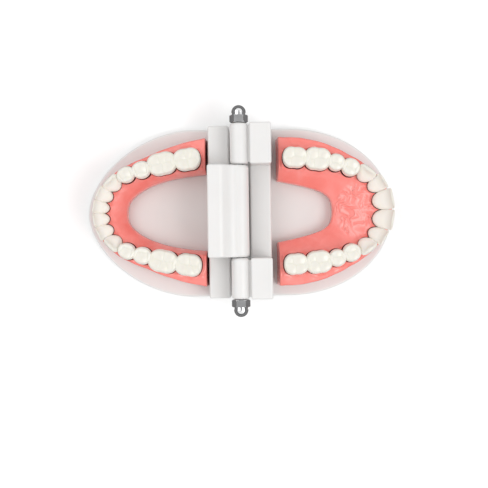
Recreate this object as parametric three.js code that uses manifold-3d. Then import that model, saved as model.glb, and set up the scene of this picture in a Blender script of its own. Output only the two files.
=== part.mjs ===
// Typodont model: a lower and an upper jaw on plastic bases, joined by a threaded hinge rod with two
// cap nuts. Millimetres, +Z up. The model lies opened flat, both bases on the table at z = 0 and all
// teeth up. The hinge axis runs along Y above the origin; the lower jaw lies to -X, the upper to +X.
//
// Each jaw is built in its own jaw frame: x = distance forward from the hinge axis, y = sideways,
// z = height above the table. The lower jaw's frame is turned half round about Z, so that the
// patient's right is at +Y of the model on both jaws.
import * as THREE from 'three';
import { mergeVertices } from 'three/addons/utils/BufferGeometryUtils.js';
import Module from 'manifold-3d';

const wasm = await Module();
wasm.setup();

// ---- driving dimensions ----
const OCCLUSAL_HEIGHT = 27;     // hinge axis and biting plane above the table
const CLEARANCE = 0.3;          // gap between pieces that move or are set into each other
const OVERLAP = 0.5;            // how far solids that are joined into one run into each other

const BAR = { rear: 4.3, front: 14.2, halfLength: 38.5 };   // upright bar along the back of each base
const PLATE = { thickness: 6, front: 69.5, halfWidth: 38.2, straightEnd: 22 };
const WALL = 2.2;               // wall of the mouldings, which are open underneath
const EDGE_ROUND = 0.8;
const RIB = { width: 1.6, crossRibAt: 38 };                 // stiffening ribs under the plate

const KNUCKLE_RADIUS = 4;
const KNUCKLE_TOP = OCCLUSAL_HEIGHT + KNUCKLE_RADIUS;
const WEB = { belowAxis: 3.4, aboveAxis: 1.5 };             // ties each knuckle to its bar or block
const BORE_RADIUS = 2.2;
const CENTRE_KNUCKLE_HALF = 20.15;                          // half length of the lower jaw's knuckle
const OUTER_KNUCKLE_INNER = CENTRE_KNUCKLE_HALF + CLEARANCE;

const CENTRE_BLOCK_TOP = 34.5;
const OUTER_BLOCK_TOP = 31.5;
// The tall block's top starts to roll down at rollStart from the bar's rear, into a shallow valley in
// front of the crest of its knuckle.
const VALLEY = { rollStart: 4.6, at: 2.6, depth: 0.25 };

const ROD = { radius: 1.95, length: 86, chamfer: 0.7 };     // M4 threaded rod
// Cap nuts: seat is the gap to the bar end.
const NUT = { acrossFlats: 7, hexHeight: 3.2, domeRadius: 3.15, height: 7.6, boreDepth: 5.6, seat: 0.2 };
// Self-tapping screws from below, which hold the gums down; tips are heights above the table.
const SCREW = { headRadius: 2.75, headHeight: 1.9, headRound: 0.8, seatGap: 0.1, shankRadius: 1.2,
  tipHeight: 12, pointLength: 1.5, holeRadius: 1.5 };

const CREST_HEIGHT = 18.6;      // gum crest around the tooth necks
const CREST_DROP = { outer: 1.4, inner: 0.6 };              // of the crest's outer and inner edge
const GUM_WALL = 6;             // height of the gum's upright outer wall
const GUM_SECTIONS = 44;
const GUM_GAP = 0.1;            // adhesive line between gum and base
const CONTACT_GAP = 0.15;       // between neighbouring crowns
const SOCKET_GAP = 0.3;         // between a root and its socket
const ROOT_LENGTH = 5;
const ROOT_TAPER = 0.8;
const TOOTH_REACH = 5;          // crest width between the arch line and the tongue side

// Teeth from the midline back.
const TOOTH_NAMES = ['central_incisor', 'lateral_incisor', 'canine', 'first_premolar',
  'second_premolar', 'first_molar', 'second_molar'];

// Each jaw's crowns hold the width along the arch, the depth across it, and how far the cutting edge
// or cusps rise above the biting plane. Outlines run from the midline back, as [forward, sideways].
const LOWER = {
  side: 'lower',
  turn: Math.PI,
  rightSide: -1,
  roundness: 1.77,
  barTop: 19,
  crowns: [
    { width: 5.1, depth: 6.6, shape: 'incisor', rise: -0.2 },
    { width: 5.6, depth: 6.6, shape: 'incisor', rise: -0.2 },
    { width: 6.9, depth: 7.1, shape: 'canine', rise: 0 },
    { width: 6.8, depth: 7.3, shape: 'premolar', rise: -0.15 },
    { width: 7.2, depth: 7.8, shape: 'premolar', rise: -0.15 },
    { width: 11.5, depth: 10.6, shape: 'molar', rise: -0.15 },
    { width: 11.1, depth: 10.4, shape: 'molar', rise: -0.15 },
  ],
  arch: [[61.5, 0], [61.2, 2.7], [59.3, 8.3], [55.7, 13], [50, 16.9], [43, 19], [33.9, 21.6],
    [22.5, 23.4], [12, 24.4]],
  gumOuter: [[65.3, 0], [63.9, 7], [59.2, 15], [52.4, 20.2], [43.4, 24.3], [28, 30.2], [15.6, 33.2]],
  gumInner: [[51, 0], [50.2, 4.4], [46.5, 8.6], [41.3, 11.7], [33.5, 14.5], [24, 16.4], [15.6, 17.3]],
  shelfHeight: 12,
  screwPlaces: [[56.5, 0], [24, 24.8], [24, -24.8]],
};

const UPPER = {
  side: 'upper',
  turn: 0,
  rightSide: 1,
  roundness: 2.05,
  barTop: 18.5,
  crowns: [
    { width: 8.2, depth: 8.4, shape: 'incisor', rise: 1.1 },
    { width: 6.2, depth: 7.4, shape: 'incisor', rise: 0.7 },
    { width: 7.3, depth: 7.5, shape: 'canine', rise: 0.6 },
    { width: 6.8, depth: 8.2, shape: 'premolar', rise: -0.15 },
    { width: 6.3, depth: 7.9, shape: 'premolar', rise: -0.15 },
    { width: 10.2, depth: 10.6, shape: 'molar', rise: -0.15 },
    { width: 10, depth: 9.8, shape: 'molar', rise: -0.15 },
  ],
  arch: [[63.6, 0], [63, 4.2], [60.4, 10.9], [55.4, 15.8], [48.9, 18.9], [42.6, 21.1], [34.3, 22.8],
    [24.4, 23.6], [12, 23.8]],
  gumOuter: [[67.9, 0], [66.2, 8], [62.4, 14.5], [57.6, 19.4], [48, 25.5], [41, 29], [30, 32.3],
    [17.8, 33.3]],
  gumInner: [[41.8, 0], [41.5, 3], [40.6, 5.6], [38.2, 7.9], [34, 9.8], [28, 11.5], [17.8, 13.7]],
  shelfHeight: 12.5,
  screwPlaces: [[56, 0], [26, 24.6], [26, -24.6]],
};

// ---- materials ----
const basePlastic = new THREE.MeshStandardMaterial({ color: 0xece7e6, roughness: 0.38, metalness: 0 });
const gumResin = new THREE.MeshStandardMaterial({ color: 0xf07d72, roughness: 0.28, metalness: 0 });
const toothEnamel = new THREE.MeshStandardMaterial({ color: 0xf4f2e6, roughness: 0.2, metalness: 0 });
const rodSteel = new THREE.MeshStandardMaterial({ color: 0xa9adae, roughness: 0.35, metalness: 1 });
const nutChrome = new THREE.MeshStandardMaterial({ color: 0xd9dadb, roughness: 0.08, metalness: 1 });
const screwSteel = new THREE.MeshStandardMaterial({ color: 0xb3b5b6, roughness: 0.3, metalness: 1 });

// ---- solids ----
function toSolid(geometry) {
  const bare = geometry.clone();
  bare.deleteAttribute('normal');
  bare.deleteAttribute('uv');
  const merged = mergeVertices(bare, 1e-4);
  const corners = merged.index.array;
  const triVerts = [];
  for (let k = 0; k < corners.length; k += 3) {
    const [a, b, c] = corners.slice(k, k + 3);
    if (a !== b && b !== c && c !== a) {
      triVerts.push(a, b, c);
    }
  }
  return new wasm.Manifold(new wasm.Mesh({
    numProp: 3,
    vertProperties: new Float32Array(merged.attributes.position.array),
    triVerts: new Uint32Array(triVerts),
  }));
}

function toGeometry(solid) {
  const { vertProperties, triVerts } = solid.getMesh();
  const geometry = new THREE.BufferGeometry();
  geometry.setAttribute('position', new THREE.BufferAttribute(vertProperties, 3));
  geometry.setIndex(new THREE.BufferAttribute(triVerts, 1));
  geometry.computeVertexNormals();
  return geometry;
}

// Closed skin over rings of equal length; each end is capped by a fan to its ring's middle.
function loft(rings) {
  const count = rings[0].length;
  const middle = (ring) => ring.reduce((sum, p) => sum.add(p), new THREE.Vector3()).divideScalar(count);
  const points = [...rings.flat(), middle(rings[0]), middle(rings[rings.length - 1])];
  const firstMiddle = points.length - 2;
  const lastMiddle = points.length - 1;
  const lastStart = (rings.length - 1) * count;
  const index = [];
  for (let k = 0; k < count; k++) {
    const next = (k + 1) % count;
    for (let start = 0; start < lastStart; start += count) {
      index.push(start + k, start + next, start + count + next);
      index.push(start + k, start + count + next, start + count + k);
    }
    index.push(firstMiddle, next, k);
    index.push(lastMiddle, lastStart + k, lastStart + next);
  }
  const geometry = new THREE.BufferGeometry().setFromPoints(points);
  geometry.setIndex(index);
  geometry.computeVertexNormals();
  return geometry;
}

function cylinderAlongZ(radius, bottom, top, segments = 16) {
  const geometry = new THREE.CylinderGeometry(radius, radius, top - bottom, segments);
  geometry.rotateX(Math.PI / 2).translate(0, 0, (top + bottom) / 2);
  return geometry;
}

function boxBetween(low, high) {
  const geometry = new THREE.BoxGeometry(high[0] - low[0], high[1] - low[1], high[2] - low[2]);
  geometry.translate((low[0] + high[0]) / 2, (low[1] + high[1]) / 2, (low[2] + high[2]) / 2);
  return geometry;
}

// A side profile, drawn as x against z, made solid from y = -halfWidth to y = +halfWidth.
function profileAlongY(shape, halfWidth) {
  const geometry = new THREE.ExtrudeGeometry(shape, {
    depth: 2 * halfWidth, bevelEnabled: false, curveSegments: 5,
  });
  return geometry.rotateX(Math.PI / 2).translate(0, halfWidth, 0);
}

// ---- jaw bases ----
// D-shaped outline: straight sides from the bar, closed in front by half a superellipse.
function plateOutline(jaw, inset) {
  const reach = PLATE.front - PLATE.straightEnd - inset;
  const halfWidth = PLATE.halfWidth - inset;
  const steps = 40;
  const shape = new THREE.Shape();
  shape.moveTo(BAR.rear + inset + 1, -halfWidth);
  for (let k = 0; k <= steps; k++) {
    const angle = Math.PI * (k / steps - 0.5);
    const forward = Math.abs(Math.cos(angle)) ** (2 / jaw.roundness);
    const sideways = Math.sign(angle) * Math.abs(Math.sin(angle)) ** (2 / jaw.roundness);
    shape.lineTo(PLATE.straightEnd + reach * forward, halfWidth * sideways);
  }
  shape.lineTo(BAR.rear + inset + 1, halfWidth);
  return shape;
}

function plate(jaw, inset, bottom, top) {
  const geometry = new THREE.ExtrudeGeometry(plateOutline(jaw, inset), {
    depth: top - bottom, bevelEnabled: false,
  });
  return toSolid(geometry.translate(0, 0, bottom));
}

function barProfile(top) {
  const shape = new THREE.Shape();
  shape.moveTo(BAR.rear, 0);
  shape.lineTo(BAR.front, 0);
  shape.lineTo(BAR.front, top - EDGE_ROUND);
  shape.quadraticCurveTo(BAR.front, top, BAR.front - EDGE_ROUND, top);
  shape.lineTo(BAR.rear + EDGE_ROUND, top);
  shape.quadraticCurveTo(BAR.rear, top, BAR.rear, top - EDGE_ROUND);
  return shape;
}

function between(solid, from, to) {
  return solid.translate([0, (from + to) / 2, 0]);
}

// A knuckle round the hinge axis, with the web that ties it to its block.
function knuckle(from, to) {
  const half = (to - from) / 2;
  const barrel = new THREE.CylinderGeometry(KNUCKLE_RADIUS, KNUCKLE_RADIUS, 2 * half, 32);
  barrel.translate(0, 0, OCCLUSAL_HEIGHT);
  const web = boxBetween([0, -half, OCCLUSAL_HEIGHT - WEB.belowAxis],
    [BAR.rear + OVERLAP, half, OCCLUSAL_HEIGHT + WEB.aboveAxis]);
  return between(toSolid(barrel).add(toSolid(web)), from, to);
}

// The lower jaw's tall block, drawn on as far as the middle of its knuckle.
function centreBlockProfile(top) {
  const shape = new THREE.Shape();
  shape.moveTo(BAR.rear, 0);
  shape.lineTo(BAR.front, 0);
  shape.lineTo(BAR.front, top - EDGE_ROUND);
  shape.quadraticCurveTo(BAR.front, top, BAR.front - EDGE_ROUND, top);
  shape.lineTo(BAR.rear + VALLEY.rollStart, top);
  shape.quadraticCurveTo(BAR.rear + EDGE_ROUND, top, BAR.rear - OVERLAP, KNUCKLE_TOP + OVERLAP);
  shape.lineTo(VALLEY.at, KNUCKLE_TOP - VALLEY.depth);
  shape.lineTo(0, KNUCKLE_TOP);
  shape.lineTo(0, OCCLUSAL_HEIGHT);
  shape.lineTo(BAR.rear, OCCLUSAL_HEIGHT - WEB.belowAxis);
  return shape;
}

// Room inside a bar or block, open at the table.
function hollow(from, to, top) {
  return toSolid(boxBetween([BAR.rear + WALL, from + WALL, -1], [BAR.front - WALL, to - WALL, top - WALL]));
}

function hingeBore() {
  const bore = new THREE.CylinderGeometry(BORE_RADIUS, BORE_RADIUS, 2 * BAR.halfLength + 2, 24);
  return toSolid(bore.translate(0, 0, OCCLUSAL_HEIGHT));
}

function baseGeometry(jaw, blocks) {
  let body = plate(jaw, 0, 0, PLATE.thickness);
  body = body.add(toSolid(profileAlongY(barProfile(jaw.barTop), BAR.halfLength)));
  const skin = PLATE.thickness - WALL;
  const barStrip = boxBetween([0, -BAR.halfLength, -2], [BAR.front, BAR.halfLength, skin + 1]);
  body = body.subtract(plate(jaw, WALL, -1, skin).subtract(toSolid(barStrip)));
  body = body.subtract(hollow(-BAR.halfLength, BAR.halfLength, jaw.barTop));
  body = body.add(stiffeners(jaw, skin));
  for (const block of blocks) {
    body = body.add(block.solid);
  }
  for (const block of blocks) {
    body = body.subtract(hollow(block.from, block.to, block.top));
  }
  const headHole = toSolid(cylinderAlongZ(SCREW.headRadius + CLEARANCE, -1, skin));
  const shankHole = toSolid(cylinderAlongZ(SCREW.holeRadius, -1, PLATE.thickness + 1));
  for (const [x, y] of jaw.screwPlaces) {
    body = body.subtract(headHole.add(shankHole).translate([x, y, 0]));
  }
  return toGeometry(body.subtract(hingeBore()));
}

// Ribs under the plate and a round boss about each gum screw.
function stiffeners(jaw, skin) {
  const half = RIB.width / 2;
  const top = skin + OVERLAP;
  const bossRadius = SCREW.headRadius + CLEARANCE + WALL / 2;
  const alongRib = boxBetween([BAR.front - 1, -half, 0], [PLATE.front - 1, half, top]);
  const crossRib = boxBetween([RIB.crossRibAt, -PLATE.halfWidth, 0],
    [RIB.crossRibAt + RIB.width, PLATE.halfWidth, top]);
  let solid = toSolid(alongRib).add(toSolid(crossRib));
  for (const [x, y] of jaw.screwPlaces) {
    solid = solid.add(toSolid(cylinderAlongZ(bossRadius, 0, top, 20)).translate([x, y, 0]));
  }
  return solid.intersect(plate(jaw, WALL / 2, 0, top));
}

function lowerBase() {
  const top = CENTRE_BLOCK_TOP;
  const profile = profileAlongY(centreBlockProfile(top), CENTRE_KNUCKLE_HALF);
  const barrel = knuckle(-CENTRE_KNUCKLE_HALF, CENTRE_KNUCKLE_HALF);
  return baseGeometry(LOWER, [{
    solid: toSolid(profile).add(barrel), from: -CENTRE_KNUCKLE_HALF, to: CENTRE_KNUCKLE_HALF, top,
  }]);
}

function upperBase() {
  const top = OUTER_BLOCK_TOP;
  const half = (BAR.halfLength - OUTER_KNUCKLE_INNER) / 2;
  const blocks = [[-BAR.halfLength, -OUTER_KNUCKLE_INNER], [OUTER_KNUCKLE_INNER, BAR.halfLength]]
    .map(([from, to]) => {
      const block = between(toSolid(profileAlongY(barProfile(top), half)), from, to);
      return { solid: block.add(knuckle(from, to)), from, to, top };
    });
  return baseGeometry(UPPER, blocks);
}

// ---- teeth ----
// Each level holds a height share of 0 (neck) to 1 (rim), then the section's half width, half depth
// and outward lean as shares of half the crown's; the rim level has no height. Sections are
// superellipses of the given squareness, narrower on the tongue side by the taper.
const CROWN_SHAPES = {
  molar: { cusps: 4, fossa: 1.5, squareness: 2.6, taper: 0.03, rim: [0.76, 0.66, 0],
    levels: [[0, 0.8, 0.82, 0], [0.4, 0.99, 1, 0], [0.8, 0.95, 0.88, -0.02]] },
  premolar: { cusps: 2, fossa: 1.5, squareness: 2.2, taper: 0.12, rim: [0.66, 0.54, 0],
    levels: [[0, 0.74, 0.84, 0], [0.45, 0.99, 1, 0], [0.8, 0.92, 0.82, 0]] },
  canine: { cusps: 1, fossa: 0, squareness: 2.1, taper: 0.2, rim: [0.26, 0.12, 0.5],
    levels: [[0, 0.76, 0.86, -0.08], [0.45, 0.99, 0.86, 0.08], [0.78, 0.84, 0.46, 0.38]] },
  incisor: { cusps: 1, fossa: 0, squareness: 2.2, taper: 0.22, rim: [0.94, 0.12, 0.88],
    levels: [[0, 0.7, 0.82, -0.18], [0.4, 0.88, 0.66, 0.2], [0.8, 0.98, 0.3, 0.68]] },
};
const CROWN_SIDES = 16;

function crownRing(shape, halfWidth, halfDepth, outwardShift, heightAt) {
  const power = 2 / shape.squareness;
  return Array.from({ length: CROWN_SIDES }, (_, k) => {
    const angle = 2 * Math.PI * k / CROWN_SIDES;
    const across = Math.sign(Math.cos(angle)) * Math.abs(Math.cos(angle)) ** power;
    const outward = Math.sign(Math.sin(angle)) * Math.abs(Math.sin(angle)) ** power;
    const narrowed = halfWidth * (1 + shape.taper * Math.min(0, outward));
    return new THREE.Vector3(narrowed * across, halfDepth * outward + outwardShift, heightAt(angle));
  });
}

// Rings of one tooth from its root end up. grow widens them, and sinks the root end by as much.
function toothRings(crown, height, grow = 0) {
  const shape = CROWN_SHAPES[crown.shape];
  const halfWidth = crown.width / 2;
  const halfDepth = crown.depth / 2;
  const [, neckWidth, neckDepth, neckLean] = shape.levels[0];
  const rootWidth = halfWidth * neckWidth * ROOT_TAPER + grow;
  const rootDepth = halfDepth * neckDepth * ROOT_TAPER + grow;
  const rings = [crownRing(shape, rootWidth, rootDepth, halfDepth * neckLean, () => -ROOT_LENGTH - grow)];
  for (const [share, wide, deep, lean] of shape.levels) {
    rings.push(crownRing(shape, halfWidth * wide + grow, halfDepth * deep + grow, halfDepth * lean,
      () => share * height));
  }
  return rings;
}

// The cutting edge, or the cusped rim and the floor of the fossa inside it.
function rimRings(crown, height) {
  const shape = CROWN_SHAPES[crown.shape];
  const [wide, deep, lean] = shape.rim;
  const halfWidth = crown.width / 2 * wide;
  const halfDepth = crown.depth / 2 * deep;
  const dip = shape.fossa * 0.6;
  const cuspHeight = (angle) => height - dip * (1 + Math.cos(shape.cusps * angle)) / 2;
  const rim = crownRing(shape, halfWidth, halfDepth, crown.depth / 2 * lean, cuspHeight);
  if (!shape.fossa) {
    return [rim];
  }
  const floorShare = 0.4;
  const floorHeight = () => height - shape.fossa;
  return [rim, crownRing(shape, halfWidth * floorShare, halfDepth * floorShare, 0, floorHeight)];
}

function crownHeight(crown) {
  return OCCLUSAL_HEIGHT + crown.rise - CREST_HEIGHT;
}

function toothGeometry(crown) {
  const height = crownHeight(crown);
  return loft([...toothRings(crown, height), ...rimRings(crown, height)]);
}

function socketSolid(crown) {
  return toSolid(loft(toothRings(crown, crownHeight(crown), SOCKET_GAP)));
}

// A smooth curve through half an outline and its mirror image.
function bothSides(points) {
  const mirrored = points.slice(1).reverse().map(([x, y]) => [x, -y]);
  return new THREE.CatmullRomCurve3([...mirrored, ...points].map(([x, y]) => new THREE.Vector3(x, y, 0)));
}

// Where each crown stands: crowns are laid side by side along the arch from the midline back.
function toothPlaces(jaw) {
  const arch = bothSides(jaw.arch);
  arch.arcLengthDivisions = 800;
  const length = arch.getLength();
  const places = [];
  let travelled = CONTACT_GAP / 2;
  jaw.crowns.forEach((crown, k) => {
    travelled += crown.width / 2;
    const point = arch.getPointAt(0.5 + travelled / length);
    const tangent = arch.getTangentAt(0.5 + travelled / length);
    const outwardAngle = Math.atan2(-tangent.x, tangent.y);
    for (const [hand, sign] of [['right', jaw.rightSide], ['left', -jaw.rightSide]]) {
      places.push({
        name: `${jaw.side}_${hand}_${TOOTH_NAMES[k]}`,
        crown,
        position: new THREE.Vector3(point.x, sign * point.y, CREST_HEIGHT),
        angle: sign * outwardAngle - Math.PI / 2,
      });
    }
    travelled += crown.width / 2 + CONTACT_GAP;
  });
  return places;
}

// ---- gums ----
// Height and place across a gum section: 0 at the outer foot, 1 under the teeth, 2 at the inner foot.
function gumSection(outer, middle, inner, shelfHeight) {
  const foot = PLATE.thickness + GUM_GAP;
  const across = (t) => (t < 1
    ? new THREE.Vector3().lerpVectors(outer, middle, t)
    : new THREE.Vector3().lerpVectors(middle, inner, t - 1));
  const tongueSide = 1 + Math.min(0.75, TOOTH_REACH / middle.distanceTo(inner));
  return [
    [0, foot],
    [0.04, foot + GUM_WALL],
    [0.3, CREST_HEIGHT - CREST_DROP.outer],
    [0.6, CREST_HEIGHT],
    [1, CREST_HEIGHT],
    [tongueSide, CREST_HEIGHT - CREST_DROP.inner],
    [(tongueSide + 2) / 2, (CREST_HEIGHT + shelfHeight) / 2],
    [1.97, shelfHeight - EDGE_ROUND],
    [2, foot],
  ].map(([t, height]) => across(t).setZ(height));
}

function gumGeometry(jaw) {
  const outer = bothSides(jaw.gumOuter);
  const middle = bothSides(jaw.arch.map(([x, y]) => [Math.max(x, jaw.gumOuter.at(-1)[0]), y]));
  const inner = bothSides(jaw.gumInner);
  const sections = [];
  for (let k = GUM_SECTIONS; k >= 0; k--) {
    const share = k / GUM_SECTIONS;
    sections.push(gumSection(outer.getPointAt(share), middle.getPointAt(share), inner.getPointAt(share),
      jaw.shelfHeight));
  }
  let gum = toSolid(loft(sections));
  for (const { crown, position, angle } of toothPlaces(jaw)) {
    const turned = socketSolid(crown).rotate([0, 0, THREE.MathUtils.radToDeg(angle)]);
    gum = gum.subtract(turned.translate(position.toArray()));
  }
  for (const [x, y] of jaw.screwPlaces) {
    const pilot = cylinderAlongZ(SCREW.holeRadius, 0, SCREW.tipHeight + CLEARANCE);
    gum = gum.subtract(toSolid(pilot).translate([x, y, 0]));
  }
  return toGeometry(gum);
}

// ---- hinge hardware ----
// A solid turned about Y, from [radius, distance along] points that start and end on the axis.
function turnedAlongY(outline, segments) {
  const points = outline.map(([radius, along]) => new THREE.Vector2(radius, along));
  return new THREE.LatheGeometry(points, segments);
}

function rodGeometry() {
  const half = ROD.length / 2;
  const tip = ROD.radius - ROD.chamfer;
  return turnedAlongY([[0, -half], [tip, -half], [ROD.radius, -half + ROD.chamfer],
    [ROD.radius, half - ROD.chamfer], [tip, half], [0, half]], 24);
}

// Hexagon with a dome over its outer end and a blind bore from its seat at y = 0.
function capNutGeometry() {
  const corner = NUT.acrossFlats / Math.sqrt(3);
  const hexagon = new THREE.CylinderGeometry(corner, corner, NUT.hexHeight, 6);
  const domeStart = NUT.height - NUT.domeRadius;
  const quarter = Array.from({ length: 7 }, (_, k) => {
    const angle = Math.PI / 2 * k / 6;
    return [NUT.domeRadius * Math.cos(angle), domeStart + NUT.domeRadius * Math.sin(angle)];
  });
  const dome = turnedAlongY([[0, NUT.hexHeight / 2], [NUT.domeRadius, NUT.hexHeight / 2], ...quarter], 24);
  const boreShoulder = NUT.boreDepth - 1;
  const bore = turnedAlongY([[0, -1], [BORE_RADIUS, -1], [BORE_RADIUS, boreShoulder],
    [0, NUT.boreDepth]], 16);
  const body = toSolid(hexagon.translate(0, NUT.hexHeight / 2, 0)).add(toSolid(dome));
  return toGeometry(body.subtract(toSolid(bore)));
}

function gumScrewGeometry() {
  const headTop = PLATE.thickness - WALL - SCREW.seatGap;
  const headBottom = headTop - SCREW.headHeight;
  const pointStart = SCREW.tipHeight - SCREW.pointLength;
  const outline = [
    [0, headBottom],
    [SCREW.headRadius - SCREW.headRound, headBottom],
    [SCREW.headRadius, headBottom + SCREW.headRound],
    [SCREW.headRadius, headTop],
    [SCREW.shankRadius, headTop],
    [SCREW.shankRadius, pointStart],
    [0, SCREW.tipHeight],
  ];
  return turnedAlongY(outline, 16).rotateX(Math.PI / 2);
}

// ---- assembly ----
function mesh(name, geometry, material) {
  const piece = new THREE.Mesh(geometry, material);
  piece.name = name;
  return piece;
}

function jawGroup(jaw, baseShape) {
  const group = new THREE.Group();
  group.rotation.z = jaw.turn;
  group.add(mesh(`${jaw.side}_base`, baseShape, basePlastic));
  group.add(mesh(`${jaw.side}_gum`, gumGeometry(jaw), gumResin));
  for (const { name, crown, position, angle } of toothPlaces(jaw)) {
    const tooth = mesh(name, toothGeometry(crown), toothEnamel);
    tooth.position.copy(position);
    tooth.rotation.z = angle;
    group.add(tooth);
  }
  jaw.screwPlaces.forEach(([x, y], k) => {
    const screw = mesh(`${jaw.side}_gum_screw_${k + 1}`, gumScrewGeometry(), screwSteel);
    screw.position.set(x, y, 0);
    group.add(screw);
  });
  return group;
}

function hingeGroup() {
  const group = new THREE.Group();
  group.position.z = OCCLUSAL_HEIGHT;
  group.add(mesh('hinge_rod', rodGeometry(), rodSteel));
  const seat = BAR.halfLength + NUT.seat;
  const back = mesh('cap_nut_back', capNutGeometry(), nutChrome);
  back.position.y = seat;
  const front = mesh('cap_nut_front', capNutGeometry(), nutChrome);
  front.position.y = -seat;
  front.rotation.z = Math.PI;
  group.add(back, front);
  return group;
}

const group = new THREE.Group();
group.add(jawGroup(LOWER, lowerBase()), jawGroup(UPPER, upperBase()), hingeGroup());

export default group;
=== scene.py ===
"""Typodont model, opened flat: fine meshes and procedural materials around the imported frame.

Shapes are worked out in millimetres and written in metres. Each jaw is drawn in its own jaw frame:
u = distance forward from the hinge axis, v = sideways along it, z = height above the table. The
lower jaw's front points to -X, the upper jaw's to +X.
"""
import math

import bpy
import numpy as np
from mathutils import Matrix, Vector, noise


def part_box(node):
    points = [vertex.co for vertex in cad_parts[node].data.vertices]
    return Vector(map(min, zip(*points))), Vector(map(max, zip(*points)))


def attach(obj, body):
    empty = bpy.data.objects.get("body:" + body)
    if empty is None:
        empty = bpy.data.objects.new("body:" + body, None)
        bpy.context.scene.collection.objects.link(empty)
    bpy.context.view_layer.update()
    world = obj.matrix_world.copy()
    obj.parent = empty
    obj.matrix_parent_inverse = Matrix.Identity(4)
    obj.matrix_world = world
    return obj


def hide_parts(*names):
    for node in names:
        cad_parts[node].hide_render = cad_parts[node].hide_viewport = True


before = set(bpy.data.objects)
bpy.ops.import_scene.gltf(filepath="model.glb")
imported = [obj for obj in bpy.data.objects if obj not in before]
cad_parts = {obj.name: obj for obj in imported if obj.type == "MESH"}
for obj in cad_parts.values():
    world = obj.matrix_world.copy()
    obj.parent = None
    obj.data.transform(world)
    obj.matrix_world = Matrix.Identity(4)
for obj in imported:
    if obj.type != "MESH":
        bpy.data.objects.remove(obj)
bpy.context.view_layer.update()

MM = 0.001
TAU = 2 * math.pi


def box_mm(node):
    """A CAD node's lowest and highest corners, in mm."""
    low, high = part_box(node)
    return np.array(low) / MM, np.array(high) / MM


# ---- driving dimensions, in mm, read from the frame where a node's box gives them ----
ROD_LOW, ROD_HIGH = box_mm("hinge_rod")
AXIS_HEIGHT = (ROD_LOW[2] + ROD_HIGH[2]) / 2
ROD_RADIUS = (ROD_HIGH[2] - ROD_LOW[2]) / 2
ROD_HALF = (ROD_HIGH[1] - ROD_LOW[1]) / 2
ROD_CHAMFER = 0.75
THREAD_PITCH = 0.7
THREAD_DEPTH = 0.38

HEX_HEIGHT = 3.2
CORNER_CUT = 0.42         # how far the 30 degree chamfers cut back the cap nut's corners
NECK_RADIUS = 2.95
DOME_RADIUS = 3.12
NUT_BORE_DEPTH = 5.2

CLEARANCE = 0.3
WALL = 2.2                # wall of the base mouldings, which are open underneath
BAR_HALF = box_mm("lower_base")[1][1]
BAR_REAR = 4.3
BAR_FRONT = 14.2
PLATE_FRONT = 69.5
PLATE_HALF = 38.2
STRAIGHT_END = 22.0       # where the plate's straight sides start to curve in
RIB_HALF = 0.8
CROSS_RIB_AT = 38.8
BOSS_RADIUS = 4.15
OVERLAP = 0.5             # how far solids that are joined run into each other
BORE_RADIUS = 2.2
KNUCKLE_RADIUS = 4.0
KNUCKLE_TOP = AXIS_HEIGHT + KNUCKLE_RADIUS
CENTRE_HALF = 20.15       # half length of the lower jaw's knuckle
WEB_BELOW_AXIS = 3.4
WEB_ABOVE_AXIS = 1.5
CORNER = 1.2              # rounding of the mouldings' long top edges
END_EDGE = 0.85           # rounding round their end faces
FOOT_EDGE = 0.3           # rounding of the plates where they stand on the table
KNUCKLE_EDGE = 1.5
FLAT_BORDER = 0.2         # border of extra vertices that keeps the end faces' shading flat

CREST = box_mm("lower_gum")[1][2]
GUM_FOOT = box_mm("lower_gum")[0][2]
PLATE_TOP = GUM_FOOT - 0.1
SHOULDER_RADIUS = 1.1     # rounding of the gum's outer top edge
TONGUE_EDGE = 0.6         # rounding of its inner top edge
END_RADIUS = 0.35         # rounding of its back walls' edges
END_LEAN = 0.85           # how much further back their feet reach
END_SHRINK = 0.06         # how much smaller than the gum's section their flat part is
GUM_SECTIONS = 480        # round the arch
SOCKET_GAP = 0.34
RIDGE_HEIGHT = 0.46       # of the palate's winding cross ridges
SEAM_HEIGHT = 0.3         # of its middle seam
RIDGE_WARP = 3.2          # how far the ridges wander

SCREW_HEAD_HEIGHT = 1.9
SCREW_HEAD_ROLL = 0.9     # height over which the head's rim is rounded
SCREW_CORE = 0.85
SCREW_CREST = 0.35
SCREW_PITCH = 1.3
RECESS_HALF = (1.5, 0.38)  # half length and half width of each slot of the cross
RECESS_DEPTH = 1.0
SCREW_HOLE_RADIUS = 1.5
PILOT_RADIUS = 1.45
PILOT_TOP = 12.3

TOOTH_ORDER = ["second_molar", "first_molar", "second_premolar", "first_premolar", "canine",
               "lateral_incisor", "central_incisor"]

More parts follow.
